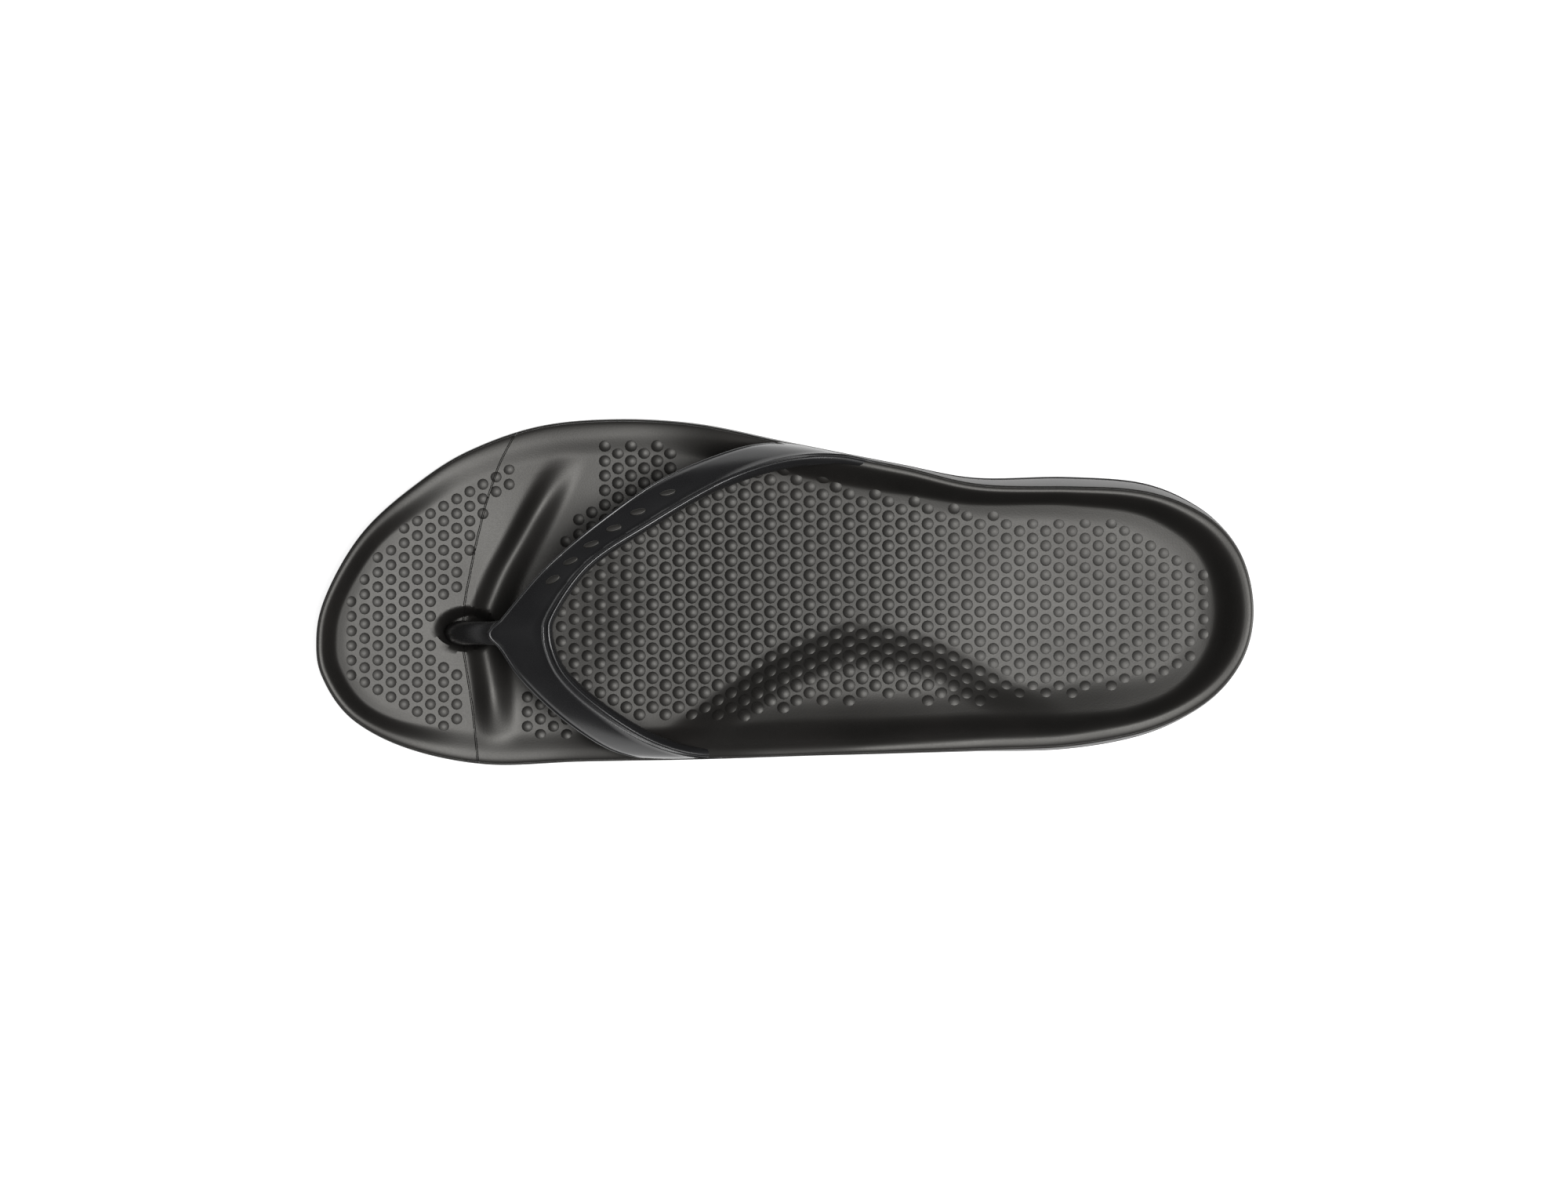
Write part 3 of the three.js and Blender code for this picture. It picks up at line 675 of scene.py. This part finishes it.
midsole_form = bmesh.new()
wrap(midsole_form, midsole_rings(Columns(outline, heel=150, side=170, toe=170)))
bmesh.ops.remove_doubles(midsole_form, verts=midsole_form.verts[:], dist=WELD_DISTANCE)
bmesh.ops.recalc_face_normals(midsole_form, faces=midsole_form.faces[:])
plant_nubs(midsole_form)
score_tool_line(midsole_form)
midsole = make_piece("midsole", midsole_form, eva_foam_matte(), sharp_above=42)
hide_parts("midsole_rear", "midsole_forefoot")
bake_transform(midsole)

# ---------------------------------------------------------------- strap
# One moulding of solid EVA from a smoother tool: two arms that run down into the side walls, a
# bead along their rear edge, and the toe post, which runs down through the midsole.
STRAP_CROWN = 0.5
STRAP_STEPS = 320
# Ribs from the outer root to the inner: the front edge, then the rear edge, each as shares of
# length and width with a height in millimetres, then the thickness there.
STRAP_RIBS = [
    ((0.515, 0.395, 6), (0.665, 0.31, 18), 1.8),
    ((0.511, 0.41, 14), (0.65, 0.325, 27), 1.8),
    ((0.504, 0.43, 22), (0.612, 0.362, 31.6), 1.8),
    ((0.489, 0.434, 29), (0.565, 0.39, 36.2), 2.4),
    ((0.451, 0.419, 36), (0.511, 0.382, 40.5), 3.4),
    ((0.376, 0.338, 43.6), (0.444, 0.325, 45.8), 4.0),
    ((0.306, 0.213, 46.8), (0.358, 0.193, 50), 4.0),
    ((0.2425, 0.066, 46), (0.2915, 0.072, 50.4), 4.0),
    ((0.195, -0.083, 43.3), (0.2535, -0.078, 48.9), 4.0),
    ((0.1825, -0.121, 42.5), (0.2515, -0.114, 48.4), 4.0),
    ((0.195, -0.163, 42.2), (0.2545, -0.166, 47.6), 4.0),
    ((0.215, -0.243, 41), (0.267, -0.238, 45.6), 4.0),
    ((0.258, -0.36, 36.2), (0.306, -0.337, 41.0), 4.0),
    ((0.309, -0.454, 29), (0.366, -0.438, 35.8), 3.4),
    ((0.343, -0.48, 25.5), (0.42, -0.476, 31.0), 2.4),
    ((0.358, -0.472, 15), (0.47, -0.465, 24), 1.8),
    ((0.363, -0.46, 8), (0.5, -0.445, 15), 1.6),
]
# The section, round from the front edge: share of the width, shift and height. Heights from the
# skin's down are shares of the thickness, the others millimetres.
STRAP_SKIN = -0.14
STRAP_SECTION = (
    [(0, 0.0, -0.65), (0, 0.0, -0.32), (0, 0.1, STRAP_SKIN), (0, 0.3, 0.0), (0, 0.7, 0.1)]
    + [(0, 1.1, 0.06), (0, 1.35, -0.12), (0, 1.55, -0.12), (0, 1.9, 0.0)]
    + [(s, 0.0, 0.0) for s in (0.2, 0.3, 0.4, 0.5, 0.6, 0.7)]
    + [(1, -3.1, 0.0), (1, -2.85, 0.1), (1, -2.6, 0.36), (1, -2.3, 0.5), (1, -2.0, 0.36)]
    + [(1, -1.75, 0.04), (1, -1.55, -0.12), (1, -1.35, 0.02), (1, -1.0, 0.2), (1, -0.6, 0.18)]
    + [(1, -0.2, -0.04), (1, 0.0, -0.18), (1, -0.1, -0.6), (1, -0.7, -0.9), (1, -1.6, -1.0)]
    + [(s, 0.0, -1.0) for s in (0.75, 0.6, 0.45, 0.3)]
    + [(0, 1.6, -1.0), (0, 0.5, -0.9)]
)
# The post's sections, from the footbed's underside up: place along the foot and height, length
# and width, and tilt in degrees.
POST_SECTIONS = [
    (-97.8, 6.5, 11.6, 7.6, 0), (-97.8, 16.0, 11.6, 7.6, 0), (-96.6, 24.0, 10.6, 7.2, 8),
    (-93.0, 32.0, 10.0, 7.0, 22), (-87.6, 39.0, 10.6, 7.2, 30), (-83.8, 43.0, 12.0, 8.5, 24),
]
POST_OFFSET = -12.45
POST_STEPS = 40
POST_SIDES = 40
# The dots on the outer arm: the first one's place along the band and the step to the next.
MARK_COUNT = 6
MARK_START = 0.34
MARK_STEP = 0.0225
MARK_SHIFT = -0.4
MARK_SIDES = 24
MARK_RADIUS = 1.9
MARK_SUNK = 0.5
MARK_RISE = 0.5
MARK_EDGE = 0.3


class Band:
    """Where a point of the strap lies, from its place along and over the band."""

    def __init__(self):
        scale = lambda p: ((p[0] - 0.5) * SOLE_LENGTH, p[1] * SOLE_WIDTH, p[2])
        rows = [scale(front) + scale(rear) + (thick,) for front, rear, thick in STRAP_RIBS]
        rows = curve_through(rows, STRAP_STEPS)
        self.front, self.rear, self.thickness = rows[:, :3], rows[:, 3:6], rows[:, 6:]
        span = self.rear - self.front
        self.width = np.linalg.norm(span, axis=1)[:, None]
        self.span = span / self.width
        run = np.gradient(self.front, axis=0) + np.gradient(self.rear, axis=0)
        self.run = run / np.linalg.norm(run, axis=1)[:, None]
        out = np.cross(self.run, self.span)
        self.out = out / np.linalg.norm(out, axis=1)[:, None]

    def line(self, share, shift, height):
        """A line that follows the whole band at one place of its section."""
        over = share * self.width + shift
        place = np.clip(over / self.width, 0, 1)
        crown = STRAP_CROWN * (4 * place * (1 - place) - 1)
        sunk = height * self.thickness if height <= STRAP_SKIN else height
        return self.front + self.span * over + self.out * (crown + sunk)


def post_ring(along, height, length, width, tilt):
    """One oval loop of points round the post."""
    a = np.arange(POST_SIDES) * 2 * math.pi / POST_SIDES
    fore, lean = length / 2 * np.cos(a), math.radians(tilt)
    x = along + fore * math.cos(lean)
    z = height + fore * math.sin(lean)
    return np.column_stack([x, POST_OFFSET + width / 2 * np.sin(a), z])


def close_ends(bm, loops):
    for loop in loops:
        bmesh.ops.contextual_create(bm, geom=loop)


def strap_mesh():
    band = Band()
    lines = np.array([band.line(*point) for point in STRAP_SECTION])
    bm = bmesh.new()
    close_ends(bm, wrap(bm, [lines[:, i] for i in range(STRAP_STEPS)]))
    sections = curve_through(POST_SECTIONS, POST_STEPS)
    close_ends(bm, wrap(bm, [post_ring(*section) for section in sections]))
    emboss(bm, band)
    return bm


def emboss(bm, band):
    """A row of small raised dots on the outer arm, with the footbed's matte finish."""
    for k in range(MARK_COUNT):
        i = int(STRAP_STEPS * (MARK_START + MARK_STEP * k))
        middle = Vector(band.line(0.5, MARK_SHIFT, 0.0)[i])
        along, over, out = Vector(band.run[i]), Vector(band.span[i]), Vector(band.out[i])
        angles = np.arange(MARK_SIDES) * 2 * math.pi / MARK_SIDES
        corners = [along * math.cos(a) + over * math.sin(a) for a in angles]
        corners = [middle + corner * MARK_RADIUS - out * MARK_SUNK for corner in corners]
        face = bm.faces.new([bm.verts.new(corner) for corner in corners])
        raised = bmesh.ops.extrude_face_region(bm, geom=[face])["geom"]
        top = [g for g in raised if isinstance(g, bmesh.types.BMVert)]
        for side in {f for v in top for f in v.link_faces}:
            side.material_index = 1
        bmesh.ops.translate(bm, verts=top, vec=out * (MARK_SUNK + MARK_RISE))
        rim = [g for g in raised if isinstance(g, bmesh.types.BMEdge)]
        bmesh.ops.bevel(
            bm, geom=rim, offset=MARK_EDGE, segments=3, profile=0.5, affect="EDGES", material=-1
        )


# EVA from a polished tool: the same black, but smoother, so flat faces go dark and the rounded
# edges and the bead catch thin bright lines.
def eva_polished():
    material, tree, place = new_material("eva_polished")
    # What the polishing leaves is a ripple of 0.6 mm, too shallow to show but in a highlight.
    skin = add(
        tree, "ShaderNodeTexNoise", {"Scale": 1 / (0.6 * MM), "Detail": 2.0}, {"Vector": place}
    )
    cloud = add(
        tree, "ShaderNodeTexNoise", {"Scale": 1 / (18 * MM), "Detail": 3.0}, {"Vector": place}
    )
    tint = ramp(tree, cloud.outputs["Fac"], [(0.3, colour("#151516")), (0.7, colour("#1a1a1b"))])
    dull = add(
        tree, "ShaderNodeMapRange", {"To Min": 0.24, "To Max": 0.3}, {"Value": cloud.outputs["Fac"]}
    )
    bump = add(
        tree,
        "ShaderNodeBump",
        {"Strength": 0.05, "Distance": 0.02 * MM},
        {"Height": skin.outputs["Fac"]},
    )
    shader = add(
        tree,
        "ShaderNodeBsdfPrincipled",
        {"IOR": 1.5},
        {"Base Color": tint, "Roughness": dull.outputs["Result"], "Normal": bump.outputs["Normal"]},
    )
    add(tree, "ShaderNodeOutputMaterial", links={"Surface": shader.outputs["BSDF"]})
    return material


strap = make_piece("strap", strap_mesh(), eva_polished(), sharp_above=50)
# The dots are left matte, as the footbed is.
strap.data.materials.append(midsole.data.materials[0])
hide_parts("strap_band", "toe_post")
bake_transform(strap)

# ---------------------------------------------------------------- studio
# A white floor that glows a little, one broad soft light overhead and a dim room around it, so
# that what faces up shines softly and every slope falls off to black.
FLOOR_HALF = 3.0
FLOOR_GLOW = 0.8
ROOM_GLOW = 0.05
KEY_PLACE = (0.75, -0.22, 4.0)
KEY_SIZE = (1.9, 1.6)
KEY_POWER = 255.0
CAMERA_PLACE = (-0.0004, 0.0, 3.33)
CAMERA_LENS = 250
CAMERA_SENSOR = 36

floor_form = bmesh.new()
bmesh.ops.create_grid(floor_form, x_segments=8, y_segments=8, size=FLOOR_HALF)
floor_mesh = bpy.data.meshes.new("floor")
floor_form.to_mesh(floor_mesh)
floor_form.free()
floor = bpy.data.objects.new("floor", floor_mesh)
bpy.context.scene.collection.objects.link(floor)
floor_paint, tree, place = new_material("matte_white_paint")
patch = add(tree, "ShaderNodeTexNoise", {"Scale": 3.0, "Detail": 2.0}, {"Vector": place})
white = ramp(tree, patch.outputs["Fac"], [(0.3, colour("#b8b8b8")), (0.7, colour("#bcbcbc"))])
paint = add(
    tree,
    "ShaderNodeBsdfPrincipled",
    {"Roughness": 0.9, "Emission Color": colour("#ffffff"), "Emission Strength": FLOOR_GLOW},
    {"Base Color": white},
)
add(tree, "ShaderNodeOutputMaterial", links={"Surface": paint.outputs["BSDF"]})
floor_mesh.materials.append(floor_paint)

key = bpy.data.lights.new("key", "AREA")
key.shape = "RECTANGLE"
key.size, key.size_y = KEY_SIZE
key.energy = KEY_POWER
key_object = bpy.data.objects.new("key", key)
key_object.location = KEY_PLACE
bpy.context.scene.collection.objects.link(key_object)

world = bpy.data.worlds.new("room")
world.use_nodes = True
background = world.node_tree.nodes["Background"]
background.inputs["Color"].default_value = colour("#ffffff")
background.inputs["Strength"].default_value = ROOM_GLOW
bpy.context.scene.world = world
bpy.context.scene.view_settings.view_transform = "Standard"

camera = bpy.data.cameras.new("camera")
camera.lens = CAMERA_LENS
camera.sensor_width = CAMERA_SENSOR
camera_object = bpy.data.objects.new("camera", camera)
camera_object.location = CAMERA_PLACE
bpy.context.scene.collection.objects.link(camera_object)
bpy.context.scene.camera = camera_object
